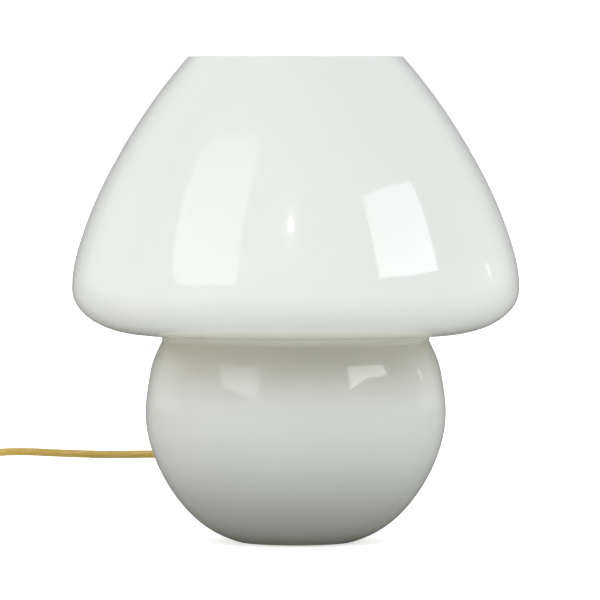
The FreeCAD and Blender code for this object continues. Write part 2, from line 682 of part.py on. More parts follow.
def switch_cover(outer, space):
    """Upper half, with the rocker's window and the two lugs that its pins turn in."""
    upper = block(-40, 40, -60, 60, SWITCH_SEAM, 40)
    posts = [Part.makeCylinder(3.2, 9, Vector(x, y, SWITCH_SEAM)) for x, y in SWITCH_POSTS]
    lugs = []
    for side in (-1, 1):
        near = ROCKER_WIDTH / 2 + 0.5
        lugs.append(block(min(side * near, side * 8), max(side * near, side * 8), -3, 3,
                          ROCKER_PIVOT_Z - 3, SWITCH_HEIGHT - 1))
    shell = outer.cut(space).common(upper)
    shell = shell.fuse(posts + lugs).common(outer).cut(rocker_window())
    pin_hole = rod(1.55, Vector(-7.5, 0, ROCKER_PIVOT_Z), Vector(7.5, 0, ROCKER_PIVOT_Z))
    shell = shell.cut(pin_hole)
    for x, y in SWITCH_POSTS:
        shell = shell.cut(Part.makeCylinder(1.2, 5, Vector(x, y, SWITCH_SEAM)))
    return shell


def switch_rocker():
    """Two-way key with a valley across its middle, side pins and a thumb groove at each end."""
    half = ROCKER_LENGTH / 2
    pivot = ROCKER_PIVOT_Z
    left_top = Vector(-ROCKER_WIDTH / 2, -half, pivot + 6.2)
    right_top = Vector(-ROCKER_WIDTH / 2, half, pivot + 6.2)
    valley = Vector(-ROCKER_WIDTH / 2, 0, pivot + 4.2)
    low_left = Vector(-ROCKER_WIDTH / 2, -half + 1.4, pivot - 1.2)
    low_right = Vector(-ROCKER_WIDTH / 2, half - 1.4, pivot - 1.2)
    edges = [arc(left_top, valley, right_top), line(right_top, low_right),
             line(low_right, low_left), line(low_left, left_top)]
    key = Part.Face(Part.Wire(edges)).extrude(Vector(ROCKER_WIDTH, 0, 0))
    key = rounded(key, 0.6, lambda edge: edge.BoundBox.ZMin > pivot + 3)
    for way in (-1, 1):
        for i in range(3):
            y = way * (half - 2.2 - 1.6 * i)
            rise = 4.2 + 2.0 * (y / half) ** 2
            key = key.cut(rod(0.35, Vector(-3.4, y, pivot + rise), Vector(3.4, y, pivot + rise)))
    pins = rod(1.5, Vector(-7.2, 0, pivot), Vector(7.2, 0, pivot))
    nose = block(-2, 2, -1.5, 1.5, pivot - 3.6, pivot)
    return key.fuse([pins, nose])


def switch_bridge():
    """Sprung contact carried under the key, closing on one fixed contact or clear of it."""
    pivot = ROCKER_PIVOT_Z
    side = [(-7, pivot - 5.0), (0, pivot - 4.1), (7, pivot - 5.0)]
    under = [Vector(-1.6, y, z) for y, z in side]
    over = [Vector(-1.6, y, z + 0.5) for y, z in reversed(side)]
    return prism(under + over, Vector(3.2, 0, 0))


def switch_contacts():
    """Two brass strips on the floor of the case, each with a raised end under the bridge."""
    strips = []
    for way in (-1, 1):
        side = [(5, SWITCH_SKIN), (19, SWITCH_SKIN), (19, SWITCH_SKIN + 0.8),
                (9, SWITCH_SKIN + 0.8), (8, 6.0), (5, 6.0)]
        points = [Vector(-2.2, way * y, z) for y, z in side]
        strips.append(prism(points, Vector(4.4, 0, 0)))
    return Part.makeCompound(strips)


def switch_terminal_screws():
    screws = []
    for way in (-1, 1):
        foot = Vector(0, way * 15, SWITCH_SKIN + 0.8)
        screws.append(slotted_screw(1.4, 2.4, foot, foot + Vector(0, 0, 1.2)))
    return Part.makeCompound(screws)


def switch_clamps():
    """A small bar at each end that holds the lead's sheath down."""
    bore = rod(CORD_BORE, Vector(0, -60, SWITCH_CORD_Z), Vector(0, 60, SWITCH_CORD_Z))
    clamps = []
    for y in (-27.5, 27.5):
        bar = block(-5.2, 5.2, y - 1.8, y + 1.8, SWITCH_SKIN, SWITCH_CORD_Z + 2)
        clamps.append(bar.cut(bore))
    return Part.makeCompound(clamps)


def switch_screws():
    """Case screws, up through the base into the cover."""
    screws = []
    for x, y in SWITCH_POSTS:
        screw = slotted_screw(1.2, 2.4, Vector(x, y, SWITCH_SEAM + 5), Vector(x, y, 2.0))
        screws.append(screw)
    return Part.makeCompound(screws)


def coil_section(grow):
    """Section of the wound bundle, as edges in the XZ plane through the coil's centre."""
    inner = COIL_MEAN_RADIUS - COIL_PITCH / 2 - CORD_RADIUS - grow
    outer = COIL_MEAN_RADIUS + COIL_PITCH / 2 + CORD_RADIUS + 1.8 + grow
    bottom = max(-grow, 0.0)
    top = 2 * CORD_RADIUS + (COIL_LAYERS - 1) * COIL_LAYER + grow
    corner = 2.0
    points = [(inner + corner, bottom), (outer - corner, bottom), (outer, bottom + corner),
              (outer, top - corner), (outer - corner, top), (inner + corner, top),
              (inner, top - corner), (inner, bottom + corner)]
    corners = [COIL_AT + at(radius, z) for radius, z in points]
    return [line(a, b) for a, b in zip(corners, corners[1:] + corners[:1])]


def cord_coil():
    """Outer form of the put-away length, a ring of wound turns."""
    return lathe_edges(coil_section(0), centre=COIL_AT)


def cord_tie():
    """Strap round the bundle, with a short tab where it closes."""
    band = lathe_edges(coil_section(0.9), 12, COIL_AT)
    band = band.cut(lathe_edges(coil_section(0), 360, COIL_AT))
    band.rotate(COIL_AT, UP, 244)
    return band


def plug_section(y, half_width, half_height, corner):
    """Closed outline of the plug body at a distance along it."""
    w, h, c = half_width, half_height, corner
    z = PLUG_AXIS_Z
    points = [(-w, z), (-w + c, z - h), (w - c, z - h), (w, z), (w - c, z + h), (-w + c, z + h)]
    corners = [Vector(x, y, height) for x, height in points]
    return Part.makePolygon(corners + corners[:1])


def plug_body():
    """Flat six-sided plug body that narrows to a ringed taper along the lead."""
    half_height = PLUG_HEIGHT / 2
    start = 20.0
    sections = [plug_section(start, 5, 3.6, 1.6), plug_section(start + 9, 12.5, half_height, 4.5),
                plug_section(start + PLUG_LENGTH - 6, PLUG_WIDTH / 2, half_height, 5.5),
                plug_section(start + PLUG_LENGTH, PLUG_WIDTH / 2 - 0.6, half_height - 0.4, 5.5)]
    body = Part.makeLoft(sections, True, True)
    taper = Part.makeCone(3.2, 4.4, start + 2, Vector(0, 0, PLUG_AXIS_Z), Vector(0, 1, 0))
    body = body.fuse(taper)
    for i in range(5):
        y = 3 + 3.4 * i
        radius = 3.2 + 1.2 * y / (start + 2)
        near = Vector(0, y, PLUG_AXIS_Z)
        far = Vector(0, y + 1.3, PLUG_AXIS_Z)
        body = body.cut(rod(radius + 1, near, far).cut(rod(radius - 0.6, near, far)))
    body = body.cut(rod(CORD_BORE, Vector(0, 0, PLUG_AXIS_Z), Vector(0, 12, PLUG_AXIS_Z)))
    body = body.cut(plug_pin_spaces())
    return moved(body, PLUG_AT)


def plug_pin_spaces():
    return [rod(PIN_RADIUS, start, start + Vector(0, 8, 0)) for start in pin_starts(-8)]


def pin_starts(offset):
    y = 20.0 + PLUG_LENGTH + offset
    return [Vector(side * PIN_SPACING / 2, y, PLUG_AXIS_Z) for side in (-1, 1)]


def plug_pins():
    pins = []
    for start in pin_starts(-8):
        pin = rod(PIN_RADIUS, start, start + Vector(0, 8 + PIN_LENGTH, 0))
        sleeve_start = start + Vector(0, 8, 0)
        sleeve_end = start + Vector(0, 18, 0)
        waist = rod(PIN_RADIUS + 1, sleeve_start, sleeve_end)
        waist = waist.cut(rod(PIN_RADIUS - 0.5, sleeve_start, sleeve_end))
        pins.append(rounded(pin.cut(waist), 0.9, edge_across(start.y + 8 + PIN_LENGTH)))
    return moved(Part.makeCompound(pins), PLUG_AT)


def plug_pin_sleeves():
    sleeves = []
    for start in pin_starts(0):
        sleeve = rod(PIN_RADIUS - 0.05, start, start + Vector(0, 10, 0))
        sleeves.append(sleeve.cut(rod(PIN_RADIUS - 0.5, start, start + Vector(0, 10, 0))))
    return moved(Part.makeCompound(sleeves), PLUG_AT)


def inner_cord():
    """Lead from the grommet across the inside of the globe and up through the nipple."""
    stations = [(GROMMET_END_RADIUS, HOLE_Z), (62, HOLE_Z), (47, 44.6), (33.5, 49.5), (22, 57.5),
                (12, 67.5), (4.2, 78), (0, 89.3), (0, CORE_START_Z)]
    points = [tuple(polar(HOLE_AZIMUTH, radius, z)) for radius, z in stations]
    return cord_tube("inner cord", points)[0]


def bracket_parts():
    upper_top = LEDGE_Z + SLEEVE_SKIN + 2 * BAR_THICK
    bars = [turned(bracket_bar(0), BAR_TURN), turned(bracket_bar(BAR_THICK), BAR_TURN + 90)]
    washers = Part.makeCompound([washer(NUT_Z + NUT_THICK), washer(upper_top)])
    return {
        "bracket_bar_lower": bars[0],
        "bracket_bar_upper": bars[1],
        "bracket_sleeves": bracket_sleeves(bars),
        "bracket_nipple": bracket_nipple(CORE_START_Z - 0.6),
        "bracket_nut": hex_nut(NUT_Z),
        "bracket_washers": washers,
        "cord_grip": cord_grip(),
        "cord_grip_screw": cord_grip_screw(),
    }


def holder_parts():
    return {
        "holder_cap": holder_cap(),
        "holder_set_screw": holder_set_screw(),
        "holder_insert": holder_insert(),
        "holder_terminal_screws": holder_terminal_screws(),
        "holder_center_contact": holder_center_contact(),
        "holder_shell": holder_shell(),
        "holder_skirt": holder_skirt(),
        "core_brown": core(1),
        "core_blue": core(-1),
        "cord_inner": inner_cord(),
    }


def bulb_parts():
    return {
        "bulb_glass": bulb_glass(),
        "bulb_cap": bulb_cap(),
        "bulb_insulator": bulb_insulator(),
        "bulb_tip": bulb_tip(),
        "bulb_stem": bulb_stem(),
        "bulb_wires": bulb_wires().cut(bulb_stem()),
    }


def switch_parts():
    outer, space = switch_case()
    parts = {
        "switch_base": switch_base(outer, space),
        "switch_cover": switch_cover(outer, space),
        "switch_contacts": switch_contacts(),
        "switch_terminal_screws": switch_terminal_screws(),
        "switch_clamps": switch_clamps(),
        "switch_screws": switch_screws(),
    }
    pivot = Vector(0, 0, ROCKER_PIVOT_Z)
    for name, piece in (("switch_rocker", switch_rocker()), ("switch_bridge", switch_bridge())):
        piece.rotate(pivot, Vector(1, 0, 0), ROCKER_TILT)
        parts[name] = piece
    return {name: moved(piece, SWITCH_AT) for name, piece in parts.items()}


def cord_parts():
    lead, lead_length = cord_tube("cord_lead", LEAD_POINTS)
    middle, middle_length = cord_tube("cord_middle", MIDDLE_POINTS)
    end, end_length = cord_tube("cord_end", END_POINTS)
    through = LEAD_POINTS[-1][1] - MIDDLE_POINTS[0][1]
    last_half_turn = math.pi * (COIL_MEAN_RADIUS + COIL_PITCH)
    turns = 2 * COIL_LAYERS
    coiled = turns * 2 * math.pi * COIL_MEAN_RADIUS + last_half_turn
    total = lead_length + through + middle_length + coiled + end_length
    print(f"cord: coiled {coiled:.0f}, whole {total:.0f} of {CORD_LENGTH:.0f}")
    coil = cord_coil()
    return {"cord_lead": lead, "cord_middle": middle.cut(coil), "cord_end": end.cut(coil),
            "cord_coil": coil, "cord_tie": cord_tie()}


def plug_parts():
    return {"plug_body": plug_body(), "plug_pins": plug_pins(),
            "plug_pin_sleeves": plug_pin_sleeves()}


def main():
    os.makedirs("parts", exist_ok=True)
    glass = glass_body()
    parts = {"glass_body": glass, "cord_grommet": cord_grommet(glass)}
    for group in (bracket_parts, holder_parts, bulb_parts, switch_parts, cord_parts, plug_parts):
        parts.update(group())
    for name, shape in parts.items():
        shape.exportStep(f"parts/{name}.step")
        print(f"{name}: {len(shape.Solids)} solid, valid {shape.isValid()}, {shape.Volume:.0f} mm3")


main()
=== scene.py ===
# Mushroom table lamp in opal glass: materials, the mains lead, studio light and camera.
# Metres, +Z up, origin on the table under the lamp's axis; the camera is at -Y.
import bpy
import json
import math
import random
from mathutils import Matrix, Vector

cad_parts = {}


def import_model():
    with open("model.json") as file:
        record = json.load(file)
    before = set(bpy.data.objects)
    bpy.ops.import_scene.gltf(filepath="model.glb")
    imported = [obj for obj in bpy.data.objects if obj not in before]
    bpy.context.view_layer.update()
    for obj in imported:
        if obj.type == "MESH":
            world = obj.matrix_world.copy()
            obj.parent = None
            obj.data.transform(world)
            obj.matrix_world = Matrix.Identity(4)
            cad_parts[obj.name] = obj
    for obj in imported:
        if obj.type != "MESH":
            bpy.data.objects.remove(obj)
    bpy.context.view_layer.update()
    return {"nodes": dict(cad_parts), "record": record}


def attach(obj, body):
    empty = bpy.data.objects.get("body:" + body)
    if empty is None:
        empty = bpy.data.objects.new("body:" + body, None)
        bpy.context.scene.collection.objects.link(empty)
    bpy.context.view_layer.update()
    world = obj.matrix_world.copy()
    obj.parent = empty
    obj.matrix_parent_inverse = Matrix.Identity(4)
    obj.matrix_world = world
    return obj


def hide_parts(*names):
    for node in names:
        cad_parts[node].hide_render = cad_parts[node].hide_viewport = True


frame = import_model()
nodes = frame["nodes"]
scene = bpy.context.scene

# -------------------------------------------------------- camera: far off, about level with the rim
CAMERA_AT = Vector((0.0024, -3.353, 0.2648))
CAMERA_REACH = 60
LENS = 360
SENSOR = 36
PICTURE_PIXELS = 600
HORIZON_PIXELS_UP = 232
CAMERA_PITCH = math.degrees(math.atan(HORIZON_PIXELS_UP * SENSOR / (LENS * PICTURE_PIXELS)))

# -------------------------------------------------------- lead: route and coil
CORD_DIAMETER = 0.0046
CORD_RADIUS = CORD_DIAMETER / 2
SHEATH_RADIUS = 0.00216
LEAD_POINTS = [
    (-0.0630, 0.0751, 0.0430), (-0.0694, 0.0828, 0.0430), (-0.0790, 0.0895, 0.0431),
    (-0.0915, 0.0940, 0.0427), (-0.1070, 0.0965, 0.0423), (-0.1240, 0.0970, 0.0427),
    (-0.1410, 0.0984, 0.0433), (-0.1570, 0.0992, 0.0440), (-0.1720, 0.0986, 0.0436),
    (-0.1870, 0.0955, 0.0410), (-0.2020, 0.0900, 0.0345), (-0.2160, 0.0830, 0.0260),
    (-0.2285, 0.0745, 0.0170), (-0.2370, 0.0645, 0.0102), (-0.2410, 0.0520, 0.0070),
    (-0.2410, 0.0405, 0.0070),
]
MIDDLE_POINTS = [
    (-0.2410, -0.0325, 0.0070), (-0.2410, -0.0415, 0.0070), (-0.2418, -0.0490, 0.0059),
    (-0.2436, -0.0565, 0.0042), (-0.2454, -0.0635, 0.0030),
]
END_POINTS = [
    (-0.1816, -0.0670, 0.0092), (-0.1828, -0.0595, 0.0086), (-0.1863, -0.0515, 0.0076),
    (-0.1896, -0.0435, 0.0069), (-0.1905, -0.0360, 0.0069), (-0.1905, -0.0310, 0.0069),
]
COIL_AT = Vector((-0.2150, -0.0750, 0))
COIL_OUTER = 0.02905
COIL_INNER = 0.02435
COIL_RADII = [COIL_OUTER, COIL_INNER, COIL_INNER, COIL_OUTER,
              COIL_OUTER, COIL_INNER, COIL_INNER, COIL_OUTER]
COIL_LAYERS = [0, 0, 1, 1, 2, 2, 3, 3]
COIL_LAYER = 0.0043
COIL_LAST = 0.0334
COIL_LAST_Z = 0.0092
COIL_SHAKE = 0.00016
POINTS_PER_TURN = 16
NEXT_TURN_FROM = 0.72       # share of a turn after which it moves over to the next one
LAST_OUT_RATE = 1.6
LAST_DOWN_RATE = 1.15
LAST_DOWN_LAG = 0.12

# -------------------------------------------------------- glass: colours and painted shade
OPAL_REFLECTS = 0.7
OPAL_PASSES = 0.26
OPAL_LIGHT = (0.965, 0.988, 0.965)
OPAL_DARK = (0.945, 0.968, 0.945)
OPAL_DRAW = (0.94, 0.955, 0.93)
OPAL_PAINTED_SHADE = (0.80, 0.805, 0.69)
GLASS_HEIGHT = 0.2712
# painted shade by share of the glass's height: darker and yellower at the foot and under the brim,
# partly the look of thicker glass
PAINTED_SHADE_BY_HEIGHT = [(0.0, 1.0), (0.045, 0.6), (0.12, 0.1), (0.18, 0.0), (0.30, 0.25), (0.36, 0.8),
                   (0.40, 0.95), (0.43, 0.9), (0.455, 0.0)]

# -------------------------------------------------------- stage and light
LAMP_MIDDLE = Vector((0, 0, 0.17))
FLOOR_CORNERS = [(-14, -9, 0), (14, -9, 0), (14, 16, 0), (-14, 16, 0)]
FLOOR_SEEN = 0.8
FLOOR_GLOW = 0.62
# painted light and shadow in what the floor bounces: a glow from near the lamp to far, and a darker
# colour near the lamp
FLOOR_PAINTED_GLOW = (0.19, 0.62)
FLOOR_NEAR_PAINTED_SHADOW = (0.30, 0.30, 0.285)
FLOOR_FAR = (0.88, 0.88, 0.86)
FLOOR_NEAR_TO = 0.15
FLOOR_FAR_FROM = 0.23
FLOOR_MIRRORED = (0.16, 0.16, 0.155)
# radiance lights the lamp, reflected is what its gloss shows, fade is what the top loses of both
SOFTBOXES = {
    "softbox_left": dict(
        corners=[(-0.413, -0.280, 0.190), (-0.335, -0.650, 0.220), (-0.220, -0.381, 0.831),
                 (-0.501, -0.116, 0.688)],
        radiance=2.2, reflected=2.4, tint=(1, 1, 1), fade=0.55),
    "softbox_right": dict(
        corners=[(1.001, -1.099, 0.435), (1.400, -0.340, 0.490), (1.226, -0.135, 1.149),
                 (0.820, -0.828, 1.248)],
        radiance=1.6, reflected=4.8, tint=(0.97, 0.985, 1.0), fade=0.45),
    "window": dict(
        corners=[(1.32, 0.60, 0.27), (1.28, 0.69, 0.27), (1.26, 0.66, 0.40), (1.32, 0.56, 0.42)],
        radiance=0, reflected=2.6, tint=(0.96, 1.0, 0.9), fade=0.0),
}
HOT_SPOT_AT = Vector((-0.069, -1.274, 1.131))
HOT_SPOT_TINT = (1.0, 0.93, 0.86)
# half width, half height, radiance, and the share of the radius that has all of it
HOT_SPOT_CORE = (0.040, 0.065, 7.5, 0.7)
HOT_SPOT_HALO = (0.150, 0.300, 2.2, 0.0)
HOT_SPOT_EDGE = 1.1
HOT_SPOT_HALF = 0.36
FRONT_LIGHT = 2.72
BACK_LIGHT = 1.9
# levels by direction: reflections by Y from front to back, light by the height of its direction
REFLECTED_ROOM = [(0.0, 0.12), (0.58, 0.2), (0.70, 0.65), (0.86, 0.65), (0.90, 0.38), (0.935, 0.2),
                  (0.9925, 0.2), (0.9975, 1.0)]
FRONT_BY_HEIGHT = [(0.0, 0.0), (0.48, 0.0), (0.60, 1.0), (0.85, 1.0), (0.93, 0.15)]
BACK_BY_HEIGHT = [(0.0, 1.0), (0.45, 1.0), (0.60, 0.0)]
FRONT_TO_BACK = 0.15


def make_camera():
    data = bpy.data.cameras.new("camera")
    data.lens = LENS
    data.sensor_width = SENSOR
    data.clip_end = CAMERA_REACH
    camera = bpy.data.objects.new("camera", data)
    camera.location = CAMERA_AT
    camera.rotation_euler = (math.radians(90 - CAMERA_PITCH), 0, 0)
    scene.collection.objects.link(camera)
    scene.camera = camera


make_camera()


# -------------------------------------------------------- node helpers
def new_material(name):
    material = bpy.data.materials.new(name)
    material.use_nodes = True
    material.node_tree.nodes.clear()
    return material, material.node_tree


def add(tree, kind, **values):
    """New node; a value goes to the node's own setting or else to the socket of that name."""
    node = tree.nodes.new(kind)
    for key, value in values.items():
        if hasattr(node, key):
            setattr(node, key, value)
        else:
            node.inputs[key.replace("_", " ")].default_value = value
    return node


def joined(tree, kind, *sources, **values):
    """First output of a new node whose first inputs come from the sources."""
    node = add(tree, kind, **values)
    for socket, source in zip(node.inputs, sources):
        tree.links.new(source, socket)
    return node.outputs[0]


def to_output(tree, surface, kind="ShaderNodeOutputMaterial"):
    tree.links.new(surface, add(tree, kind).inputs["Surface"])


def noise(tree, coords, scale, detail=3.0, roughness=0.55):
    node = add(tree, "ShaderNodeTexNoise", Scale=scale, Detail=detail, Roughness=roughness)
    tree.links.new(coords, node.inputs["Vector"])
    return node.outputs["Fac"]


def remap(tree, value, low, high, to_low, to_high):
    node = add(tree, "ShaderNodeMapRange")
    node.inputs["From Min"].default_value = low
    node.inputs["From Max"].default_value = high
    node.inputs["To Min"].default_value = to_low
    node.inputs["To Max"].default_value = to_high
    tree.links.new(value, node.inputs["Value"])
    return node.outputs["Result"]


def mix_colours(tree, factor, a, b):
    """Colour a where the factor is 0 and b where it is 1; both are colours or sockets."""
    node = add(tree, "ShaderNodeMix", data_type="RGBA")
    for socket, value in ((node.inputs[6], a), (node.inputs[7], b)):
        if isinstance(value, tuple):
            socket.default_value = (*value, 1)
        else:
            tree.links.new(value, socket)
    tree.links.new(factor, node.inputs[0])
    return node.outputs[2]


def scaled(tree, colour, share):
    """Colour times a share, by mixing it out of black."""
    node = add(tree, "ShaderNodeMix", data_type="RGBA")
    node.inputs[0].default_value = share
    node.inputs[6].default_value = (0, 0, 0, 1)
    tree.links.new(colour, node.inputs[7])
    return node.outputs[2]


def grey_ramp(tree, value, stops):
    """Grey level by value, straight between the stops."""
    node = add(tree, "ShaderNodeValToRGB")
    tree.links.new(value, node.inputs[0])
    elements = node.color_ramp.elements
    while len(elements) < len(stops):
        elements.new(0.5)
    for element, (place, level) in zip(elements, stops):
        element.position = place
        element.color = (level, level, level, 1)
    return node.outputs[0]


def bump(tree, heights):
    """Chain of bumps: (height output, strength, distance in metres)."""
    normal = None
    for height, strength, distance in heights:
        node = add(tree, "ShaderNodeBump", Strength=strength, Distance=distance)
        tree.links.new(height, node.inputs["Height"])
        if normal is not None:
            tree.links.new(normal, node.inputs["Normal"])
        normal = node.outputs["Normal"]
    return normal


def object_coords(tree, stretch=(1, 1, 1)):
    coords = add(tree, "ShaderNodeTexCoord").outputs["Object"]
    if stretch == (1, 1, 1):
        return coords
    mapping = add(tree, "ShaderNodeMapping")
    mapping.inputs["Scale"].default_value = stretch
    tree.links.new(coords, mapping.inputs["Vector"])
    return mapping.outputs["Vector"]


def axis_of(tree, vector, axis):
    split = add(tree, "ShaderNodeSeparateXYZ")
    tree.links.new(vector, split.inputs[0])
    return split.outputs[axis]


def distance(tree, coords):
    node = add(tree, "ShaderNodeVectorMath", operation="LENGTH")
    tree.links.new(coords, node.inputs[0])
    return node.outputs["Value"]


def product(tree, a, b):
    return joined(tree, "ShaderNodeMath", a, b, operation="MULTIPLY")


def rays(tree, kind):
    return add(tree, "ShaderNodeLightPath").outputs["Is " + kind + " Ray"]


def both(tree, a, b):
    """Sum of two shaders."""
    return joined(tree, "ShaderNodeAddShader", a, b)


def either(tree, factor, no, yes):
    """One shader where the factor is 0 and the other where it is 1."""
    return joined(tree, "ShaderNodeMixShader", factor, no, yes)


def matt(tree, colour):
    """Diffuse surface of one colour or of a socket's colour."""
    node = add(tree, "ShaderNodeBsdfDiffuse")
    if isinstance(colour, tuple):
        node.inputs["Color"].default_value = (*colour, 1)
    else:
        tree.links.new(colour, node.inputs["Color"])
    return node.outputs[0]


def glow(tree, strength, tint=(1, 1, 1)):
    """Light given off, of one strength or of a socket's strength."""
    node = add(tree, "ShaderNodeEmission")
    node.inputs["Color"].default_value = (*tint, 1)
    if isinstance(strength, float):
        node.inputs["Strength"].default_value = strength
    else:
        tree.links.new(strength, node.inputs["Strength"])
    return node.outputs[0]


def background(tree, colour, strength):
    node = add(tree, "ShaderNodeBackground")
    if isinstance(colour, tuple):
        node.inputs["Color"].default_value = (*colour, 1)
    else:
        tree.links.new(colour, node.inputs["Color"])
    node.inputs["Strength"].default_value = strength
    return node.outputs[0]


# -------------------------------------------------------- materials
def plain_surface(name, light, dark, rough=(0.3, 0.45), metallic=0.0, patch=60, grain=900,
                  bump_height=0.00002, stretch=(1, 1, 1), ior=1.5, **extra):
    """Moulded, metal or ceramic surface: patchy colour, uneven gloss and fine grain."""
    material, tree = new_material(name)
    coords = object_coords(tree, stretch)
    patches = noise(tree, coords, patch, 4)
    fine = noise(tree, coords, grain, 2)
    shader = add(tree, "ShaderNodeBsdfPrincipled", Metallic=metallic, IOR=ior)
    for key, value in extra.items():
        shader.inputs[key.replace("_", " ")].default_value = value
    tree.links.new(mix_colours(tree, remap(tree, patches, 0.35, 0.65, 0, 1), light, dark),
                   shader.inputs["Base Color"])
    tree.links.new(remap(tree, patches, 0.3, 0.7, rough[0], rough[1]), shader.inputs["Roughness"])
    tree.links.new(bump(tree, [(patches, 0.15, bump_height * 4), (fine, 0.35, bump_height)]),
                   shader.inputs["Normal"])
    to_output(tree, shader.outputs["BSDF"])
    return material


def opal_glass():
    """White opal glass: faint clouds and draw lines inside, a wavy fire-polished skin, and painted
    shade under the brim and at the foot.
    """
    material, tree = new_material("opal_glass")
    coords = object_coords(tree)
    clouds = noise(tree, coords, 9, 3)
    draw = noise(tree, object_coords(tree, (1, 1, 0.22)), 34, 2)
    waves = noise(tree, coords, 22, 1.5)
    seeds = add(tree, "ShaderNodeTexVoronoi", Scale=230.0)
    tree.links.new(coords, seeds.inputs["Vector"])
    seed_dots = remap(tree, seeds.outputs["Distance"], 0.03, 0.11, 1, 0)
    skin = bump(tree, [(waves, 0.22, 0.0006), (draw, 0.05, 0.0002), (seed_dots, 0.05, 0.00002)])

    body = mix_colours(tree, remap(tree, clouds, 0.3, 0.7, 0, 1), OPAL_LIGHT, OPAL_DARK)
    body = mix_colours(tree, remap(tree, draw, 0.25, 0.75, 0, 0.25), body, OPAL_DRAW)
    height = remap(tree, axis_of(tree, coords, "Z"), 0, GLASS_HEIGHT, 0, 1)
    # painted shade: darker, yellower glass colour at the foot and under the brim
    body = mix_colours(tree, grey_ramp(tree, height, PAINTED_SHADE_BY_HEIGHT), body, OPAL_PAINTED_SHADE)

    shader = add(tree, "ShaderNodeBsdfPrincipled", IOR=1.5)
    tree.links.new(scaled(tree, body, OPAL_REFLECTS), shader.inputs["Base Color"])
    tree.links.new(remap(tree, clouds, 0.3, 0.7, 0.03, 0.075), shader.inputs["Roughness"])
    tree.links.new(skin, shader.inputs["Normal"])
    gloss = add(tree, "ShaderNodeFresnel", IOR=1.5)
    tree.links.new(skin, gloss.inputs["Normal"])
    passed = mix_colours(tree, gloss.outputs["Fac"], scaled(tree, body, OPAL_PASSES), (0, 0, 0))
    through = joined(tree, "ShaderNodeBsdfTranslucent", passed)
    to_output(tree, both(tree, shader.outputs["BSDF"], through))
    return material


def sheath():
    """Smooth gold-tan PVC, a little clear, with long streaks of pigment and handling dirt."""
    material, tree = new_material("gold_pvc")
    coords = object_coords(tree)
    streaks = noise(tree, object_coords(tree, (0.35, 1, 1)), 420, 3)
    patches = noise(tree, coords, 38, 3)
    dirt = noise(tree, coords, 700, 2)
    shader = add(tree, "ShaderNodeBsdfPrincipled", IOR=1.5, Subsurface_Weight=0.35,
                 Subsurface_Radius=(1.0, 0.7, 0.3), Subsurface_Scale=0.0012)
    body = mix_colours(tree, remap(tree, patches, 0.3, 0.7, 0, 1),
                       (0.80, 0.57, 0.150), (0.68, 0.47, 0.105))
    body = mix_colours(tree, remap(tree, streaks, 0.45, 0.75, 0, 0.6), body, (0.84, 0.66, 0.27))
    body = mix_colours(tree, remap(tree, dirt, 0.62, 0.8, 0, 0.3), body, (0.42, 0.31, 0.13))
    tree.links.new(body, shader.inputs["Base Color"])
    tree.links.new(remap(tree, patches, 0.3, 0.7, 0.26, 0.42), shader.inputs["Roughness"])
    tree.links.new(bump(tree, [(streaks, 0.25, 0.00006), (dirt, 0.15, 0.00002)]),
                   shader.inputs["Normal"])
    to_output(tree, shader.outputs["BSDF"])
    return material


# light and dark colour, then how the surface differs from a plain one
PLAIN_SURFACES = {
    "pearl_glass": ((0.93, 0.93, 0.9), (0.88, 0.88, 0.85),
                    dict(rough=(0.32, 0.45), patch=40, Transmission_Weight=0.25,
                         Subsurface_Weight=0.2, Subsurface_Scale=0.002)),
    "clear_glass": ((0.93, 0.95, 0.95), (0.9, 0.93, 0.92),
                    dict(rough=(0.02, 0.06), Transmission_Weight=0.95)),
    "black_glass": ((0.03, 0.03, 0.04), (0.015, 0.015, 0.02), dict(rough=(0.06, 0.2))),
    "aluminium": ((0.8, 0.8, 0.79), (0.62, 0.62, 0.6),
                  dict(rough=(0.22, 0.4), metallic=1.0, stretch=(1, 1, 4))),
    "brass": ((0.78, 0.62, 0.34), (0.6, 0.44, 0.2), dict(rough=(0.22, 0.42), metallic=1.0)),
    "steel": ((0.62, 0.62, 0.6), (0.46, 0.46, 0.44),
              dict(rough=(0.28, 0.5), metallic=1.0, patch=90, grain=1500)),
    "ceramic": ((0.85, 0.83, 0.77), (0.78, 0.75, 0.68), dict(rough=(0.35, 0.6))),
    "black_plastic": ((0.035, 0.032, 0.03), (0.055, 0.05, 0.045), dict(rough=(0.22, 0.42))),
    "clear_pvc": ((0.78, 0.75, 0.64), (0.66, 0.62, 0.5),
                  dict(rough=(0.3, 0.5), Transmission_Weight=0.3, Subsurface_Weight=0.3,
                       Subsurface_Scale=0.002)),
    "gold_plastic": ((0.52, 0.4, 0.16), (0.475, 0.36, 0.137),
                     dict(rough=(0.26, 0.36), Subsurface_Weight=0.15, Subsurface_Scale=0.0015)),
    "core_brown": ((0.2, 0.09, 0.045), (0.13, 0.06, 0.03), {}),
    "core_blue": ((0.07, 0.2, 0.5), (0.05, 0.14, 0.38), {}),
    "tie_plastic": ((0.84, 0.83, 0.79), (0.74, 0.72, 0.67), dict(rough=(0.35, 0.5))),
}
materials = {"opal_glass": opal_glass(), "gold_pvc": sheath()}
for name, (light, dark, differences) in PLAIN_SURFACES.items():
    materials[name] = plain_surface(name, light, dark, **differences)

slot_of = {part["node"]: part["material_slot"] for part in frame["record"]["subparts"]}
for name, node in nodes.items():
    node.data.materials.clear()
    node.data.materials.append(materials[slot_of[name]])
    for polygon in node.data.polygons:
        polygon.material_index = 0


# -------------------------------------------------------- lead
def smooth(t):
    """Eases from 0 to 1, and stays at either end."""
    t = min(max(t, 0.0), 1.0)
    return t * t * (3 - 2 * t)


def coil_point(angle, radius, z):
    return (COIL_AT.x + radius * math.cos(angle), COIL_AT.y + radius * math.sin(angle), z)


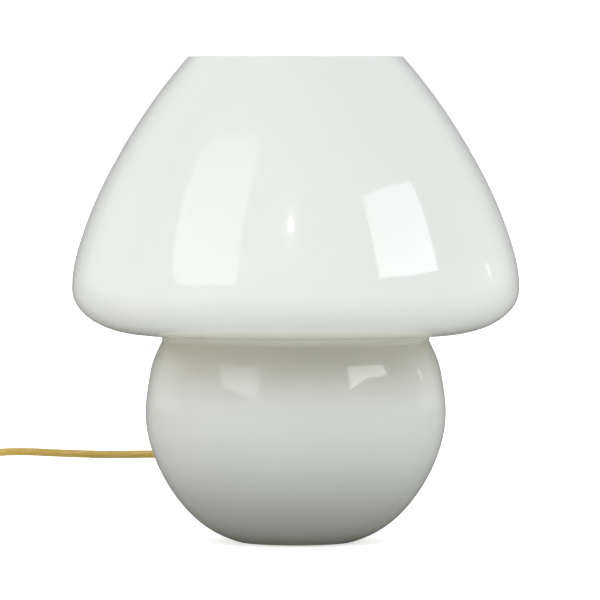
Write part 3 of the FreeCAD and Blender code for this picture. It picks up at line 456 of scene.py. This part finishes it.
def coil_points():
    """Eight turns, two beside each other on four layers, and a half turn down outside them."""
    shake = random.Random(7)
    points = []
    for turn, (radius, layer) in enumerate(zip(COIL_RADII, COIL_LAYERS)):
        following = min(turn + 1, len(COIL_RADII) - 1)
        for step in range(POINTS_PER_TURN):
            share = step / POINTS_PER_TURN
            change = smooth((share - NEXT_TURN_FROM) / (1 - NEXT_TURN_FROM))
            r = radius + (COIL_RADII[following] - radius) * change
            r += shake.uniform(-COIL_SHAKE, COIL_SHAKE)
            z = CORD_RADIUS + COIL_LAYER * (layer + (COIL_LAYERS[following] - layer) * change)
            points.append(coil_point(math.pi + 2 * math.pi * share, r, z))
    top_z = CORD_RADIUS + COIL_LAYER * COIL_LAYERS[-1]
    for step in range(POINTS_PER_TURN // 2):
        share = step / (POINTS_PER_TURN / 2)
        r = COIL_OUTER + (COIL_LAST - COIL_OUTER) * smooth(share * LAST_OUT_RATE)
        fall = smooth(share * LAST_DOWN_RATE - LAST_DOWN_LAG)
        points.append(coil_point(math.pi + math.pi * share, r, top_z + (COIL_LAST_Z - top_z) * fall))
    return points


def lead_curve():
    """The sheath on one smooth line from the grommet through switch and coil to the plug."""
    route = LEAD_POINTS + MIDDLE_POINTS + coil_points() + END_POINTS
    data = bpy.data.curves.new("lead", "CURVE")
    data.dimensions = "3D"
    spline = data.splines.new("NURBS")
    spline.points.add(len(route) - 1)
    for point, place in zip(spline.points, route):
        point.co = (*place, 1)
    spline.order_u = 3
    spline.use_endpoint_u = True
    spline.resolution_u = 8
    data.bevel_depth = SHEATH_RADIUS
    data.bevel_resolution = 6
    data.use_fill_caps = True
    data.materials.append(materials["gold_pvc"])
    curve = bpy.data.objects.new("lead", data)
    scene.collection.objects.link(curve)
    return curve


lead = lead_curve()
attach(lead, "lamp")
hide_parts("cord_lead", "cord_middle", "cord_coil", "cord_end")


# -------------------------------------------------------- stage
def panel(name, corners, material, camera_sees=True):
    mesh = bpy.data.meshes.new(name)
    mesh.from_pydata([tuple(corner) for corner in corners], [], [tuple(range(len(corners)))])
    mesh.materials.append(material)
    obj = bpy.data.objects.new(name, mesh)
    scene.collection.objects.link(obj)
    obj.visible_camera = camera_sees
    return obj


def floor_material():
    """Pale floor: white with the lamp's shadow to the camera, dark in reflections, and between the
    two as a source of light: a painted shadow (darker colour) near the lamp and a painted glow that
    is brighter away from it."""
    material, tree = new_material("floor")
    spread = remap(tree, distance(tree, object_coords(tree)), FLOOR_NEAR_TO, FLOOR_FAR_FROM, 0, 1)
    seen = both(tree, matt(tree, (FLOOR_SEEN, FLOOR_SEEN, FLOOR_SEEN)), glow(tree, FLOOR_GLOW))
    # painted shadow near the lamp and painted glow away from it, in the light the floor bounces
    lit = matt(tree, mix_colours(tree, spread, FLOOR_NEAR_PAINTED_SHADOW, FLOOR_FAR))
    bounce = both(tree, lit, glow(tree, remap(tree, spread, 0, 1, *FLOOR_PAINTED_GLOW)))
    unseen = either(tree, rays(tree, "Glossy"), bounce, matt(tree, FLOOR_MIRRORED))
    to_output(tree, either(tree, rays(tree, "Camera"), unseen, seen))
    return material


def softbox(name, corners, radiance, reflected, tint, fade):
    """Glowing panel, bright towards the lamp only and fading to its top."""
    material, tree = new_material(name)
    place = add(tree, "ShaderNodeTexCoord").outputs["Generated"]
    shape = remap(tree, axis_of(tree, place, "Z"), 0, 1, 1, 1 - fade)
    level = product(tree, shape, remap(tree, rays(tree, "Glossy"), 0, 1, radiance, reflected))
    behind = add(tree, "ShaderNodeNewGeometry").outputs["Backfacing"]
    strength = product(tree, level, remap(tree, behind, 0, 1, 1, 0))
    to_output(tree, glow(tree, strength, tint))
    middle = sum((Vector(corner) for corner in corners), Vector()) / len(corners)
    side = Vector(corners[1]) - Vector(corners[0])
    facing = side.cross(Vector(corners[2]) - Vector(corners[1]))
    if facing.dot(LAMP_MIDDLE - middle) < 0:
        corners = corners[::-1]
    panel(name, corners, material, False)


def hot_spot():
    """Small warm light seen in reflections only, with a soft halo round it."""
    material, tree = new_material("hot_spot")
    levels = []
    for across, up, level, full_to in (HOT_SPOT_CORE, HOT_SPOT_HALO):
        away = distance(tree, object_coords(tree, (1 / across, 1 / up, 1)))
        levels.append(remap(tree, away, full_to, HOT_SPOT_EDGE, level, 0))
    strength = product(tree, joined(tree, "ShaderNodeMath", *levels, operation="ADD"),
                       rays(tree, "Glossy"))
    clear = add(tree, "ShaderNodeBsdfTransparent").outputs[0]
    to_output(tree, both(tree, glow(tree, strength, HOT_SPOT_TINT), clear))
    half = HOT_SPOT_HALF
    quad = panel("hot_spot", [(-half, -half, 0), (half, -half, 0), (half, half, 0), (-half, half, 0)],
                 material, False)
    quad.location = HOT_SPOT_AT
    quad.rotation_euler = (LAMP_MIDDLE - HOT_SPOT_AT).to_track_quat("Z", "Y").to_euler()


def world():
    """White behind what is seen; a dim room and a bright backdrop in reflections; studio light."""
    the_world = bpy.data.worlds.new("studio")
    scene.world = the_world
    the_world.use_nodes = True
    tree = the_world.node_tree
    tree.nodes.clear()
    direction = add(tree, "ShaderNodeTexCoord").outputs["Generated"]
    to_back = axis_of(tree, direction, "Y")
    up = axis_of(tree, direction, "Z")
    reflected = grey_ramp(tree, remap(tree, to_back, -1, 1, 0, 1), REFLECTED_ROOM)
    front = background(tree, grey_ramp(tree, up, FRONT_BY_HEIGHT), FRONT_LIGHT)
    back = background(tree, grey_ramp(tree, up, BACK_BY_HEIGHT), BACK_LIGHT)
    light = either(tree, remap(tree, to_back, -FRONT_TO_BACK, FRONT_TO_BACK, 0, 1), front, back)
    lit = either(tree, rays(tree, "Glossy"), light, background(tree, reflected, 1))
    seen = joined(tree, "ShaderNodeMath", rays(tree, "Camera"), rays(tree, "Transmission"),
                  operation="MAXIMUM")
    to_output(tree, either(tree, seen, lit, background(tree, (1, 1, 1), 1)),
              "ShaderNodeOutputWorld")


panel("floor", FLOOR_CORNERS, floor_material())
for name, values in SOFTBOXES.items():
    softbox(name, **values)
hot_spot()
world()
scene.view_settings.view_transform = "Standard"
